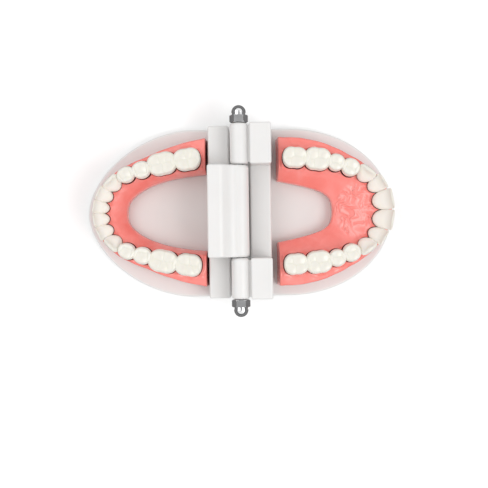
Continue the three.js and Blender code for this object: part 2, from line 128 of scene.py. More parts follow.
JAWS = {
    "lower": {
        "body": "lower_jaw",
        "side": -1,
        "roundness": 1.77,
        "bar_top": 19.0,
        "arch": [(61.5, 0), (61.2, 2.7), (59.3, 8.3), (55.7, 13), (50, 16.9), (43, 19), (33.9, 21.6),
                 (22.5, 23.4), (15.6, 24.1)],
        "outer": [(65.3, 0), (63.9, 7), (59.2, 15), (52.4, 20.2), (43.4, 24.3), (28, 30.2), (15.6, 33.2)],
        "inner": [(51, 0), (50.2, 4.4), (46.5, 8.6), (41.3, 11.7), (33.5, 14.5), (24, 16.4), (15.6, 17.3)],
        "shelf": 12.0,
        "screws": [(56.5, 0), (24, 24.8), (24, -24.8)],
    },
    "upper": {
        "body": "upper_jaw",
        "side": 1,
        "roundness": 2.05,
        "bar_top": 18.5,
        "arch": [(63.6, 0), (63, 4.2), (60.4, 10.9), (55.4, 15.8), (48.9, 18.9), (42.6, 21.1), (34.3, 22.8),
                 (24.4, 23.6), (17.8, 23.8)],
        "outer": [(67.9, 0), (66.2, 8), (62.4, 14.5), (57.6, 19.4), (48, 25.5), (41, 29), (30, 32.3),
                  (17.8, 33.3)],
        "inner": [(41.8, 0), (41.5, 3), (40.6, 5.6), (38.2, 7.9), (34, 9.8), (28, 11.5), (17.8, 13.7)],
        "shelf": 12.5,
        "screws": [(56, 0), (26, 24.6), (26, -24.6)],
    },
}


# ---- small maths ----
def smoothstep(low, high, x):
    t = np.clip((x - low) / (high - low), 0, 1)
    return t * t * (3 - 2 * t)


def bump(x, centre, width):
    return np.exp(-(((x - centre) / width) ** 2))


def smooth_curve(pairs, x):
    """Value at x on a smooth curve through (position, value) pairs."""
    px, py = np.array(pairs, float).T
    slope = np.gradient(py, px)
    k = np.clip(np.searchsorted(px, x, side="right") - 1, 0, len(px) - 2)
    step = px[k + 1] - px[k]
    t = np.clip((x - px[k]) / step, 0, 1)
    return (py[k] * (1 + 2 * t) * (1 - t) ** 2 + slope[k] * step * t * (1 - t) ** 2
            + py[k + 1] * t * t * (3 - 2 * t) + slope[k + 1] * step * t * t * (t - 1))


def both_sides(half):
    """A jaw outline from the back left, round the front, to the back right."""
    points = np.array(half, float)
    mirrored = points[:0:-1] * [1, -1]
    return np.vstack([mirrored, points])


def spline(points, shares):
    """Points at equal shares of the length of a smooth curve through the given points."""
    chord = np.concatenate([[0], np.cumsum(np.linalg.norm(np.diff(points, axis=0), axis=1))])
    fine = np.linspace(0, chord[-1], 4000)
    curve = np.stack([smooth_curve(np.column_stack([chord, points[:, k]]), fine) for k in (0, 1)], 1)
    length = np.concatenate([[0], np.cumsum(np.linalg.norm(np.diff(curve, axis=0), axis=1))])
    return np.stack([np.interp(shares * length[-1], length, curve[:, k]) for k in (0, 1)], -1)


# ---- mesh building ----
def ring_faces(rings, around, first=0):
    """Quads between rings of equal length, each ring closed on itself."""
    k, j = np.meshgrid(np.arange(rings - 1), np.arange(around), indexing="ij")
    a = first + k * around + j
    b = first + k * around + (j + 1) % around
    return np.stack([a, b, b + around, a + around], -1).reshape(-1, 4).tolist()


def closed_loft(rings):
    """Vertices and faces of a closed skin over rings (count, around, 3), capped by a fan at each end."""
    count, around, _ = rings.shape
    verts = np.vstack([rings.reshape(-1, 3), rings[0].mean(0), rings[-1].mean(0)])
    faces = ring_faces(count, around)
    first, last = count * around, count * around + 1
    top = (count - 1) * around
    for j in range(around):
        following = (j + 1) % around
        faces.append((first, following, j))
        faces.append((last, top + j, top + following))
    return verts, faces


def mesh_object(name, verts, faces, values=None):
    """A smooth-shaded mesh object from mm vertices, with named per-vertex values for its material."""
    mesh = bpy.data.meshes.new(name)
    mesh.from_pydata((np.asarray(verts) * MM).tolist(), [], faces)
    mesh.polygons.foreach_set("use_smooth", [True] * len(mesh.polygons))
    add_values(mesh, values or {})
    mesh.update()
    piece = bpy.data.objects.new(name, mesh)
    bpy.context.scene.collection.objects.link(piece)
    return piece


def add_values(mesh, values):
    for key, data in values.items():
        layer = mesh.attributes.new(key, "FLOAT", "POINT")
        layer.data.foreach_set("value", np.asarray(data, np.float32))


def vertex_places(piece):
    """Vertex places of a piece, in mm."""
    points = np.zeros(len(piece.data.vertices) * 3, np.float32)
    piece.data.vertices.foreach_get("co", points)
    return points.reshape(-1, 3).astype(float) / MM


def face_outwards(piece):
    """Turns a closed mesh inside out if its signed volume is negative."""
    mesh = piece.data
    mesh.calc_loop_triangles()
    corners = np.zeros(len(mesh.loop_triangles) * 3, np.int32)
    mesh.loop_triangles.foreach_get("vertices", corners)
    a, b, c = vertex_places(piece)[corners].reshape(-1, 3, 3).transpose(1, 0, 2)
    if np.einsum("ij,ij->i", a, np.cross(b, c)).sum() < 0:
        mesh.flip_normals()


def apply_modifiers(piece):
    """Swaps a piece's mesh for the one its modifiers make."""
    bpy.context.view_layer.update()
    evaluated = piece.evaluated_get(bpy.context.evaluated_depsgraph_get())
    mesh = bpy.data.meshes.new_from_object(evaluated)
    old = piece.data
    piece.modifiers.clear()
    piece.data = mesh
    bpy.data.meshes.remove(old)


def combine(piece, others, operation):
    """Joins or cuts a closed piece with other closed pieces, which are used up."""
    for other in others:
        step = piece.modifiers.new(operation, "BOOLEAN")
        step.operation = operation
        step.solver = "MANIFOLD"
        step.object = other
    apply_modifiers(piece)
    for other in others:
        mesh = other.data
        bpy.data.objects.remove(other)
        bpy.data.meshes.remove(mesh)
    return piece


def join(piece, *others):
    return combine(piece, others, "UNION")


def cut(piece, *others):
    return combine(piece, others, "DIFFERENCE")


def finish_piece(piece, body, slot, material, *nodes):
    piece.data.materials.clear()
    piece.data.materials.append(material)
    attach(piece, body)
    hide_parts(*nodes)


# ---- teeth ----
# Crown profiles from the neck (0) to the rim or edge (1). Widths are shares of half the crown's width;
# "outward" (cheek or lip side) and "inward" (tongue side) are signed shares of half its depth.
# "section" holds the squareness of the outward and of the inward half, how much the tongue side
# narrows, and how far the middle of the cheek and tongue faces is drawn in between the cusps.
CROWNS = {
    "molar": {
        "width": [(0, 0.91), (0.2, 0.96), (0.45, 0.99), (0.6, 1.0), (0.8, 1.0), (1, 0.86)],
        "outward": [(0, 0.93), (0.2, 0.98), (0.35, 1.0), (0.65, 0.96), (0.8, 0.92), (1, 0.70)],
        "inward": [(0, -0.93), (0.2, -0.98), (0.4, -1.0), (0.7, -0.99), (0.8, -0.96), (1, -0.76)],
        "section": (2.55, 2.45, 0.03, 0.05),
    },
    "premolar": {
        "width": [(0, 0.86), (0.2, 0.92), (0.45, 0.98), (0.6, 1.0), (0.8, 1.0), (1, 0.80)],
        "outward": [(0, 0.93), (0.2, 0.98), (0.4, 1.0), (0.65, 0.96), (0.8, 0.90), (1, 0.64)],
        "inward": [(0, -0.93), (0.2, -0.97), (0.4, -1.0), (0.7, -0.98), (0.8, -0.94), (1, -0.70)],
        "section": (2.15, 2.1, 0.05, 0),
    },
    "canine": {
        "width": [(0, 0.82), (0.2, 0.91), (0.45, 0.99), (0.6, 1.0), (0.75, 0.97), (0.9, 0.74), (1, 0.34)],
        "outward": [(0, 0.78), (0.2, 0.91), (0.45, 0.96), (0.75, 0.93), (1, 0.74)],
        "inward": [(0, -0.94), (0.12, -1.0), (0.3, -0.92), (0.6, -0.40), (0.85, 0.18), (1, 0.38)],
        "section": (2.5, 1.85, 0.05, 0),
    },
    "incisor": {
        "width": [(0, 0.84), (0.2, 0.92), (0.45, 0.98), (0.7, 1.0), (0.92, 1.0), (1, 0.98)],
        "outward": [(0, 0.64), (0.2, 0.79), (0.5, 0.92), (0.8, 0.98), (1, 0.96)],
        "inward": [(0, -1.0), (0.1, -1.02), (0.25, -0.88), (0.5, -0.28), (0.75, 0.36), (0.9, 0.64),
                   (1, 0.74)],
        "section": (3.2, 1.85, 0.02, 0),
    },
}
RIM_START = 0.8      # height share where a back tooth's side rolls over into its biting surface
EDGE_START = 0.94    # height share where a front tooth's cutting edge starts to round off
SOCKET_FROM = 0.4    # a back tooth's socket is nowhere narrower than its crown at this height share
# How far each side of a crown reaches into its neighbour, as teeth moulded in one strip do.
MERGE = {"molar": 0.85, "premolar": 0.75, "canine": 0.6, "incisor": 0.5}
LAST_MERGE = 0.2     # for the back of the last molar
# The root peg's size at depths below the neck, in mm, from its end upwards.
ROOT = [(4.9, 0.5), (4.7, 0.68), (3.5, 0.80), (1.5, 0.93)]

# Cusps of each back tooth as (towards the midline, outward, height in mm).
CUSPS = {
    "lower_molar": [(0.50, 0.46, 0.0), (-0.04, 0.50, -0.1), (-0.54, 0.30, -0.35), (0.44, -0.48, -0.05),
                    (-0.36, -0.50, -0.15)],
    "upper_molar": [(0.46, 0.46, -0.05), (-0.42, 0.44, -0.15), (0.34, -0.44, 0.0), (-0.48, -0.48, -0.4)],
    "lower_premolar": [(0.02, 0.34, 0.0), (0.12, -0.48, -0.6)],
    "upper_premolar": [(0.0, 0.44, 0.0), (0.10, -0.46, -0.25)],
}


def jaw_teeth(jaw_name):
    """Place, heading and size of each tooth of a jaw, read from its CAD node and its neighbours. A
    tooth's neck is the ring of vertices at the height of the gum's crest."""
    side = JAWS[jaw_name]["side"]
    names = [f"{jaw_name}_left_{tooth}" for tooth in TOOTH_ORDER]
    names += [f"{jaw_name}_right_{tooth}" for tooth in reversed(TOOTH_ORDER)]
    clouds = [np.array([v.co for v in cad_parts[n].data.vertices]) / MM for n in names]
    necks = [c[np.abs(c[:, 2] - CREST) < 0.1][:, :2] for c in clouds]
    middles = np.array([(n.min(0) + n.max(0)) / 2 for n in necks])
    teeth = []
    for k, (name, cloud) in enumerate(zip(names, clouds)):
        along = middles[min(k + 1, len(names) - 1)] - middles[max(k - 1, 0)]
        along /= np.linalg.norm(along)
        outward = np.array([along[1], -along[0]])
        if outward @ (middles[k] - [side * 30, 0]) < 0:
            outward = -outward
        x_axis = np.array([outward[1], -outward[0]])
        kind = name.rsplit("_", 1)[-1]
        front = max(value for _, value in CROWNS[kind]["outward"])
        back = min(value for _, value in CROWNS[kind]["inward"])
        depths = (cloud[:, :2] - middles[k]) @ outward
        half_depth = np.ptp(depths) / (front - back)
        depth_middle = (depths.max() + depths.min()) / 2
        to_midline = along if k < len(TOOTH_ORDER) else -along
        teeth.append({
            "name": name,
            "kind": kind,
            "jaw": jaw_name,
            "centre": middles[k] + outward * (depth_middle - half_depth * (front + back) / 2),
            "x_axis": x_axis,
            "outward": outward,
            "mesial": 1.0 if x_axis @ to_midline > 0 else -1.0,
            "half_width": np.ptp((cloud[:, :2] - middles[k]) @ x_axis) / 2,
            "merge_back": LAST_MERGE if "second_molar" in name else MERGE[kind],
            "half_depth": half_depth,
            "top": cloud[:, 2].max(),
        })
    return teeth


def crown_section(tooth, share, grow, angle):
    """Local x (towards x_axis) and y (outward) of a crown's outline at a height share."""
    shape = CROWNS[tooth["kind"]]
    outward_power, inward_power, taper, waist = shape["section"]
    cos, sin = np.cos(angle), np.sin(angle)
    merge = np.where(cos * tooth["mesial"] > 0, MERGE[tooth["kind"]], tooth["merge_back"])
    half_width, half_depth = tooth["half_width"] + merge + grow, tooth["half_depth"] + grow
    powers = np.where(sin > 0, outward_power, inward_power)
    across = np.sign(cos) * np.abs(cos) ** (2 / powers)
    outward = np.sign(sin) * np.abs(sin) ** (2 / powers) * (1 - waist * bump(across, 0, 0.25))
    if tooth["kind"] in ("molar", "premolar") and share > RIM_START:
        roll = (share - RIM_START) / (1 - RIM_START)
        blend = 1 - math.sqrt(max(0.0, 1 - roll * roll))
        sizes = [smooth_curve(shape[key], RIM_START) * (1 - blend) + shape[key][-1][1] * blend
                 for key in ("width", "outward", "inward")]
    else:
        sizes = [smooth_curve(shape[key], share) for key in ("width", "outward", "inward")]
    wide, front, back = half_width * sizes[0], half_depth * sizes[1], half_depth * sizes[2]
    x = wide * across * (1 + taper * np.minimum(0, outward))
    y = (front + back) / 2 + (front - back) / 2 * outward
    return x, y


def biting_surface(tooth, x, y):
    """Height against the cusp tips of a back tooth's biting surface, and how deep in a groove (0 to 1)."""
    fall = 0.12 if tooth["kind"] == "molar" else 0.16
    half_width, half_depth = tooth["half_width"], tooth["half_depth"]
    surfaces = []
    for along, outward, lift in CUSPS[f"{tooth['jaw']}_{tooth['kind']}"]:
        dx = x - along * half_width * tooth["mesial"]
        dy = y - outward * half_depth
        surfaces.append(lift - fall * (dx * dx + dy * dy + 0.3) ** 0.72)
    for end in (-1, 1):
        surfaces.append(-0.45 - 0.5 * np.abs(x - end * 0.84 * half_width) ** 1.5 - 0.02 * y * y)
    stack = np.sort(np.stack(surfaces), axis=0)
    step = stack[-1] - stack[-2]
    groove = np.exp(-((step / 0.16) ** 2))
    rounding = 0.14
    height = stack[-1] + rounding * np.log1p(np.exp(-step / rounding)) - 0.13 * groove
    return height, groove


def root_rings(tooth, grow, angle, neck_share=0.0):
    """The short tapered peg below the neck that sits in the gum's socket."""
    rings = []
    x, y = crown_section(tooth, neck_share, grow, angle)
    middle = (y.max() + y.min()) / 2
    for depth, scale in ROOT:
        level = np.full_like(x, CREST - depth)
        rings.append(np.stack([x * scale, middle + (y - middle) * scale, level], -1))
    return rings


def back_tooth_rings(tooth, grow):
    """Rings of a premolar or molar from the root end over the rim to the middle of the table. Its
    socket is as wide as the crown's belly, which leaves a fine groove round the crown."""
    angle = np.arange(80) * TAU / 80
    top = tooth["top"] + grow
    narrowest = SOCKET_FROM if grow else 0.0
    rings = root_rings(tooth, grow, angle, narrowest)
    rim_x, rim_y = crown_section(tooth, 1.0, grow, angle)
    rim_z = top + biting_surface(tooth, rim_x, rim_y)[0]
    roll = RIM_START + (1 - RIM_START) * np.sin(np.linspace(0, math.pi / 2, 9)[1:])
    for share in np.concatenate([np.linspace(0, RIM_START, 14), roll]):
        x, y = crown_section(tooth, max(share, narrowest), grow, angle)
        rings.append(np.stack([x, y, CREST + share * (rim_z - CREST)], -1))
    middle = (rim_y.max() + rim_y.min()) / 2
    for share in np.linspace(1, 0, 22)[1:-1]:
        x, y = rim_x * share, middle + (rim_y - middle) * share
        rings.append(np.stack([x, y, top + biting_surface(tooth, x, y)[0]], -1))
    return np.array(rings)


def front_tooth_rings(tooth, grow):
    """Rings of an incisor or canine from the root end to its rounded edge or tip."""
    angle = np.arange(72) * TAU / 72
    top = tooth["top"] + grow
    rings = root_rings(tooth, grow, angle)
    slope = 0.12 if tooth["kind"] == "incisor" else 0.0
    rounded = EDGE_START + (1 - EDGE_START) * np.sin(np.linspace(0, math.pi / 2, 8)[1:])
    for share in np.concatenate([np.linspace(0, EDGE_START, 26), rounded]):
        x, y = crown_section(tooth, share, grow, angle)
        roll = max(0.0, share - EDGE_START) / (1 - EDGE_START)
        thin = math.sqrt(max(0.0, 1 - roll * roll)) * 0.98 + 0.02
        middle = (y.max() + y.min()) / 2
        y = middle + (y - middle) * thin
        x = x * (1 - 0.06 * (1 - thin))
        sag = slope * (1 - x / tooth["half_width"] * tooth["mesial"]) * share ** 3
        corner = 0.35 * slope / 0.12 * np.abs(x / tooth["half_width"]) ** 6 * share ** 6
        rings.append(np.stack([x, y, CREST + share * (top - CREST) - sag - corner], -1))
    return np.array(rings)


def tooth_skin(tooth, grow=0.0):
    """World vertices and faces of a tooth; grow > 0 makes the cutter of its socket."""
    front_tooth = tooth["kind"] in ("incisor", "canine")
    rings = front_tooth_rings(tooth, grow) if front_tooth else back_tooth_rings(tooth, grow)
    verts, faces = closed_loft(rings)
    plan = tooth["centre"] + verts[:, :1] * tooth["x_axis"] + verts[:, 1:2] * tooth["outward"]
    return np.column_stack([plan, verts[:, 2]]), faces, verts


def make_tooth(tooth, material):
    verts, faces, local = tooth_skin(tooth)
    share = np.clip((verts[:, 2] - CREST) / (tooth["top"] - CREST), 0, 1)
    groove = np.zeros(len(verts))
    if tooth["kind"] in ("molar", "premolar"):
        groove = biting_surface(tooth, local[:, 0], local[:, 1])[1] * (share > 0.7)
    piece = mesh_object(tooth["name"] + "_crown", verts, faces, {"height": share, "groove": groove})
    face_outwards(piece)
    finish_piece(piece, JAWS[tooth["jaw"]]["body"], "tooth_enamel", material, tooth["name"])


# ---- gums ----
def gum_sections(jaw):
    """Outer, arch and inner points of every section, in the jaw's frame."""
    shares = np.linspace(0, 1, GUM_SECTIONS)
    return [spline(both_sides(jaw[key]), shares) for key in ("outer", "arch", "inner")]


def tooth_rhythm(arch, teeth, side):
    """For every section: nearness to a contact between teeth (0 at a tooth's middle, 1 at a contact),
    the local half depth of the crowns, and whether it has teeth (1) or lies behind the last (0)."""
    world = arch * [side, 1]
    place = [np.argmin(np.linalg.norm(world - t["centre"], axis=1)) for t in teeth]
    order = np.argsort(place)
    place = np.array(place)[order]
    widths = np.array([teeth[k]["half_width"] for k in order])
    depths = np.array([teeth[k]["half_depth"] for k in order])
    step = np.linalg.norm(np.diff(arch, axis=0), axis=1).mean()
    section = np.arange(len(arch))
    nearest = np.argmin(np.abs(section[:, None] - place) * step / widths, axis=1)
    offset = np.abs(section - place[nearest]) * step / widths[nearest]
    contact = smoothstep(0.25, 1.0, np.clip(offset, 0, 1))
    beyond = 1 - smoothstep(1.0, 1.35, offset)
    return contact * beyond, np.interp(section, place, depths), beyond


def gum_surface(jaw, teeth):
    """Top skin of a gum as (along, across) grids of plan points and heights. Across runs from the
    outer foot over the crest under the teeth to the inner foot."""
    outer, arch, inner = gum_sections(jaw)
    contact, depth, toothed = tooth_rhythm(arch, teeth, jaw["side"])
    t = np.concatenate([np.zeros(9), np.linspace(0, 0.14, 9)[1:], np.linspace(0.14, 1.9, 96)[1:],
                        np.linspace(1.9, 2.0, 12)[1:], np.full(8, 2.0)])
    first, second = np.minimum(t, 1)[None, :, None], np.maximum(t - 1, 0)[None, :, None]
    plan = outer[:, None] * (1 - first) + arch[:, None] * (first - second) + inner[:, None] * second
    to_outer = np.linalg.norm(arch - outer, axis=1)[:, None]
    to_inner = np.linalg.norm(arch - inner, axis=1)[:, None]
    y = np.where(t[None, :] < 1, (1 - t)[None, :] * to_outer, (1 - t)[None, :] * to_inner)
    depth, contact, toothed = depth[:, None], contact[:, None], toothed[:, None]

    tongue = np.minimum(depth * 0.92, to_inner * 0.7)
    fall = np.clip((-y - tongue) / (to_inner - tongue), 0, 1)
    z = CREST - (CREST - 0.2 - jaw["shelf"]) * (0.55 * fall + 0.45 * fall ** 2)
    z = z - 0.20 * np.clip(y - depth * 0.9, 0, None)
    z = z - rounded_edge(to_outer - y, SHOULDER_RADIUS) - rounded_edge(to_inner + y, TONGUE_EDGE)

    reach = np.abs(y) / depth
    papilla = np.where(y > 0, 0.6 * (1 - smoothstep(0.1, 0.8, reach)), 1 - smoothstep(0.4, 1.2, reach))
    z = z + 2.0 * contact * toothed * papilla
    z = z - 0.55 * (1 - contact) * toothed * bump(reach, 1.0, 0.45)
    z = z + 0.22 * toothed * bump(reach, 1.22 - 0.25 * contact, 0.16)

    wall = np.linspace(0, 1, 9)
    z[:, :9] = GUM_FOOT + (z[:, 9:10] - 0.5 * SHOULDER_RADIUS - GUM_FOOT) * wall
    z[:, -9:] = GUM_FOOT + (z[:, -10:-9] - 0.5 * TONGUE_EDGE - GUM_FOOT) * wall[::-1]
    outward = (outer - arch) / to_outer
    eminence = 0.15 * (1 - contact) * toothed * smoothstep(8.5, 14.5, z) * (t[None, :] < 0.3)
    plan = plan + eminence[..., None] * outward[:, None]
    return plan, z


def rounded_edge(distance, radius):
    """How far a rounded top edge has dropped at a distance in from the wall."""
    inside = np.clip(radius - distance, 0, radius)
    return radius - np.sqrt(radius * radius - inside * inside)


def rugae(plan):
    """Height of the winding cross ridges and middle seam behind the upper front teeth."""
    u, v = plan[..., 0], plan[..., 1]
    ridges = np.array([ridged_noise(a, b) for a, b in zip(u.ravel(), v.ravel())]).reshape(u.shape)
    seam = bump(v, 0.0, 0.8) * smoothstep(52, 54, u) * smoothstep(60, 57.5, u)
    reach = ((u - 51.2) / 8.8) ** 2 + (v / 12.5) ** 2
    window = 1 - smoothstep(0.72, 1.05, reach)
    return (RIDGE_HEIGHT * ridges + SEAM_HEIGHT * seam) * window


def ridged_noise(u, v):
    """Worm-like ridges (0 to 1) that run mostly sideways."""
    # noise_vector would differ from run to run: its offsets are seeded from the clock.
    warp_u, warp_v = [RIDGE_WARP * noise.noise(Vector((u * 0.21, v * 0.21, layer)))
                      for layer in (3.7, 13.9)]
    value = noise.noise(Vector(((u + warp_u) * 0.5, (v + warp_v) * 0.36, 8.1)))
    crest = max(0.0, 1 - abs(value) / 0.3)
    return crest * crest * (3 - 2 * crest)


def leaning_ends(rings):
    """Adds rings beyond both ends of the horseshoe: its back walls lean out towards the foot and have
    rounded edges."""
    height = np.ptp(rings[0][:, 2])
    for _ in range(2):
        ring, neighbour = rings[-1], rings[-2]
        middle = ring.mean(0) * [1, 1, 0] + [0, 0, GUM_FOOT]
        back = (ring - neighbour).mean(0) * [1, 1, 0]
        back /= np.linalg.norm(back)
        reach = END_RADIUS + END_LEAN * (CREST - ring[:, 2:]) / height
        turns = np.linspace(0, math.pi / 2, 6)[1:]
        ends = [middle + (ring - middle) * (1 - END_SHRINK * (1 - math.cos(a))) + back * reach * math.sin(a)
                for a in turns]
        rings = np.concatenate([rings, ends])[::-1]
    return rings


def make_gum(jaw_name, teeth, material):
    jaw = JAWS[jaw_name]
    plan, z = gum_surface(jaw, teeth)
    if jaw_name == "upper":
        z = z + rugae(plan)
    underside = np.linspace(0, 1, 8)[1:-1][None, :, None]
    floor_plan = plan[:, -1:] * (1 - underside) + plan[:, :1] * underside
    plan = np.concatenate([plan, floor_plan], 1)
    z = np.concatenate([z, np.full(floor_plan.shape[:2], GUM_FOOT)], 1)
    rings = leaning_ends(np.concatenate([plan * [jaw["side"], 1], z[..., None]], 2))
    gum = mesh_object(jaw_name + "_gum_horseshoe", *closed_loft(rings))
    face_outwards(gum)
    cutters = []
    for tooth in teeth:
        verts, faces, _ = tooth_skin(tooth, SOCKET_GAP)
        cutters.append(mesh_object("socket", verts, faces))
        face_outwards(cutters[-1])
    for u, v in jaw["screws"]:
        pilot = mirrored(circle(PILOT_RADIUS, (u, v), 32), jaw["side"])
        cutters.append(prism("pilot", pilot, 0, PILOT_TOP, "z"))
    cut(gum, *cutters)
    gum.data.set_sharp_from_angle(angle=math.radians(40))
    points = vertex_places(gum)
    # Height of the palate's cross ridges above the shelf, kept as the mask of the painted highlight on
    # their crests.
    ridge_highlight = rugae(points[:, :2]) if jaw_name == "upper" else np.zeros(len(points))
    add_values(gum.data, {"ridge_highlight": ridge_highlight * (points[:, 2] > jaw["shelf"])})
    finish_piece(gum, jaw["body"], "gum_resin", material, jaw_name + "_gum")


# ---- bases ----
def filleted(corners):
    """A closed outline from (x, y, radius) corners, each rounded off by an arc of that radius."""
    outline = []
    for k, (x, y, radius) in enumerate(corners):
        corner = Vector((x, y))
        if radius == 0:
            outline.append(corner)
            continue
        before = (Vector(corners[k - 1][:2]) - corner).normalized()
        after = (Vector(corners[(k + 1) % len(corners)][:2]) - corner).normalized()
        half = before.angle(after) / 2
        centre = corner + (before + after).normalized() * radius / math.sin(half)
        start = corner + before * radius / math.tan(half) - centre
        end = corner + after * radius / math.tan(half) - centre
        outline.extend(centre + start.slerp(end, t) for t in np.linspace(0, 1, 7))
    return np.array(outline)


def inset(outline, distance):
    """A closed outline moved inwards by a distance."""
    ahead = np.roll(outline, -1, axis=0) - outline
    x, y = outline.T
    turn = 1 if (x * np.roll(y, -1) - np.roll(x, -1) * y).sum() > 0 else -1
    normal = turn * np.column_stack([-ahead[:, 1], ahead[:, 0]])
    normal /= np.linalg.norm(normal, axis=1)[:, None]
    middle = normal + np.roll(normal, 1, axis=0)
    middle /= np.linalg.norm(middle, axis=1)[:, None]
    return outline + middle * distance / np.maximum(0.5, (middle * normal).sum(1))[:, None]


def prism(name, outline, low, high, axis, low_round=0.0, high_round=0.0):
    """Closed prism over an outline along "y" (outline in u, z) or "z" (outline in u, v), with its
    ends rounded off."""
    layers = rolled_end(low, 1, low_round) + rolled_end(high, -1, high_round)[::-1]
    rings = []
    for place, shrink in layers:
        ring = inset(outline, shrink)
        level = np.full(len(ring), place)
        rings.append(np.column_stack([ring[:, 0], level, ring[:, 1]] if axis == "y" else [ring, level]))
    piece = mesh_object(name, *closed_loft(np.array(rings)))
    face_outwards(piece)
    return piece


def rolled_end(end, inwards, radius):
    """(place, shrink) of the rings that round off one end of a prism, from the end face inwards."""
    if not radius:
        return [(end, 0.0)]
    turns = np.linspace(0, math.pi / 2, 5)
    roll = [(end + inwards * radius * (1 - math.cos(a)), radius * (1 - math.sin(a))) for a in turns]
    return [(end, radius + FLAT_BORDER)] + roll


def circle(radius, centre=(0, 0), count=96):
    angle = np.arange(count) * TAU / count
    return np.column_stack([centre[0] + radius * np.cos(angle), centre[1] + radius * np.sin(angle)])


def rectangle(low_u, high_u, low_z, high_z, corner=0.0):
    """A rectangle whose two upper corners are rounded."""
    return filleted([(low_u, low_z, 0), (high_u, low_z, 0),
                     (high_u, high_z, corner), (low_u, high_z, corner)])


def plate_outline(jaw, shrink=0.0, back=BAR_REAR + OVERLAP):
    """D shape: straight sides, closed in front by half a superellipse."""
    front = PLATE_FRONT - STRAIGHT_END - shrink
    half = PLATE_HALF - shrink
    power = 2 / jaw["roundness"]
    angle = np.linspace(-math.pi / 2, math.pi / 2, 121)
    u = STRAIGHT_END + front * np.abs(np.cos(angle)) ** power
    v = half * np.sign(angle) * np.abs(np.sin(angle)) ** power
    return np.vstack([[back, -half], np.column_stack([u, v]), [back, half]])


def mirrored(outline, side):
    return outline * [side, 1]


def make_base(jaw_name, material):
    jaw = JAWS[jaw_name]
    side = jaw["side"]
    top = box_mm(jaw_name + "_base")[1][2]
    if jaw_name == "lower":
        spans = [(-CENTRE_HALF, CENTRE_HALF)]
        block = centre_block_outline(top)
    else:
        inner = CENTRE_HALF + CLEARANCE
        spans = [(-BAR_HALF, -inner), (inner, BAR_HALF)]
        block = rectangle(BAR_REAR, BAR_FRONT, 0, top, CORNER)
    base = prism(jaw_name + "_base_moulding", mirrored(plate_outline(jaw), side), 0, PLATE_TOP, "z",
                 FOOT_EDGE, END_EDGE)
    bar = rectangle(BAR_REAR, BAR_FRONT, 0, jaw["bar_top"], CORNER)
    add = [prism("bar", mirrored(bar, side), -BAR_HALF, BAR_HALF, "y", END_EDGE, END_EDGE)]
    for low, high in spans:
        barrel = circle(KNUCKLE_RADIUS, (0, AXIS_HEIGHT))
        web = rectangle(0, BAR_REAR + OVERLAP, AXIS_HEIGHT - WEB_BELOW_AXIS, AXIS_HEIGHT + WEB_ABOVE_AXIS)
        add.append(prism("block", mirrored(block, side), low, high, "y", END_EDGE, END_EDGE))
        add.append(prism("barrel", mirrored(barrel, side), low, high, "y", KNUCKLE_EDGE, KNUCKLE_EDGE))
        add.append(prism("web", mirrored(web, side), low + 1, high - 1, "y"))
    join(base, *add)
    cut(base, *underside_pockets(jaw, side, spans, top))
    join(base, *underside_ribs(jaw, side))
    cut(base, *screw_holes(jaw, side), hinge_bore())
    even_shading(base)
    finish_piece(base, jaw["body"], "base_plastic", material, jaw_name + "_base")


def centre_block_outline(top):
    """Side outline of the lower jaw's tall block, whose top rolls down into a shallow valley in front
    of the knuckle's crest."""
    roll = [(0.2, KNUCKLE_TOP), (1.2, KNUCKLE_TOP - 0.27), (2.6, KNUCKLE_TOP - 0.25),
            (4.0, KNUCKLE_TOP + 0.3), (5.7, top - 1.9), (7.5, top - 0.45), (8.9, top)]
    u = np.linspace(roll[-1][0], roll[0][0], 28)
    z = smooth_curve(roll, u)
    return filleted([(BAR_REAR, 0, 0), (BAR_FRONT, 0, 0), (BAR_FRONT, top, CORNER),
                     *[(a, b, 0) for a, b in zip(u, z)],
                     (0.1, AXIS_HEIGHT, 0), (BAR_REAR, AXIS_HEIGHT - WEB_BELOW_AXIS, 0)])


def underside_pockets(jaw, side, spans, top):
    """Cutters for the hollows under the plate, in the bar between the blocks, and in the blocks."""
    under_plate = plate_outline(jaw, WALL, BAR_FRONT + CLEARANCE)
    pockets = [prism("pocket", mirrored(under_plate, side), -1, PLATE_TOP - WALL, "z")]
    in_bar = mirrored(rectangle(BAR_REAR + WALL, BAR_FRONT - WALL, -1, jaw["bar_top"] - WALL), side)
    block_ends = [y for span in spans for y in span if abs(y) < BAR_HALF - 1]
    edges = sorted({-BAR_HALF, BAR_HALF, *block_ends})
    for low, high in zip(edges, edges[1:]):
        pockets.append(prism("pocket", in_bar, low + WALL, high - WALL, "y"))
    in_block = mirrored(rectangle(BAR_REAR + WALL, BAR_FRONT - WALL, -1.2, top - WALL), side)
    nudge = 0.01  # keeps the block's cutter off the faces of the bar's
    for low, high in spans:
        pockets.append(prism("pocket", in_block, low + WALL + nudge, high - WALL - nudge, "y"))
    return pockets


def underside_ribs(jaw, side):
    """A rib along the middle, one across, and a round boss at each screw. Their feet differ a little
    in height, so that no two of them share a face."""
    top = PLATE_TOP - WALL + OVERLAP
    long_rib = rectangle(BAR_FRONT - 1, PLATE_FRONT - 1.5, -RIB_HALF, RIB_HALF)
    cross_rib = rectangle(CROSS_RIB_AT - RIB_HALF, CROSS_RIB_AT + RIB_HALF, 5 - PLATE_HALF, PLATE_HALF - 5)
    ribs = [prism("rib", mirrored(long_rib, side), 0, top, "z"),
            prism("rib", mirrored(cross_rib, side), 0.02, top, "z")]
    for place in jaw["screws"]:
        ribs.append(prism("boss", mirrored(circle(BOSS_RADIUS, place, 48), side), 0.01, top, "z"))
    return ribs


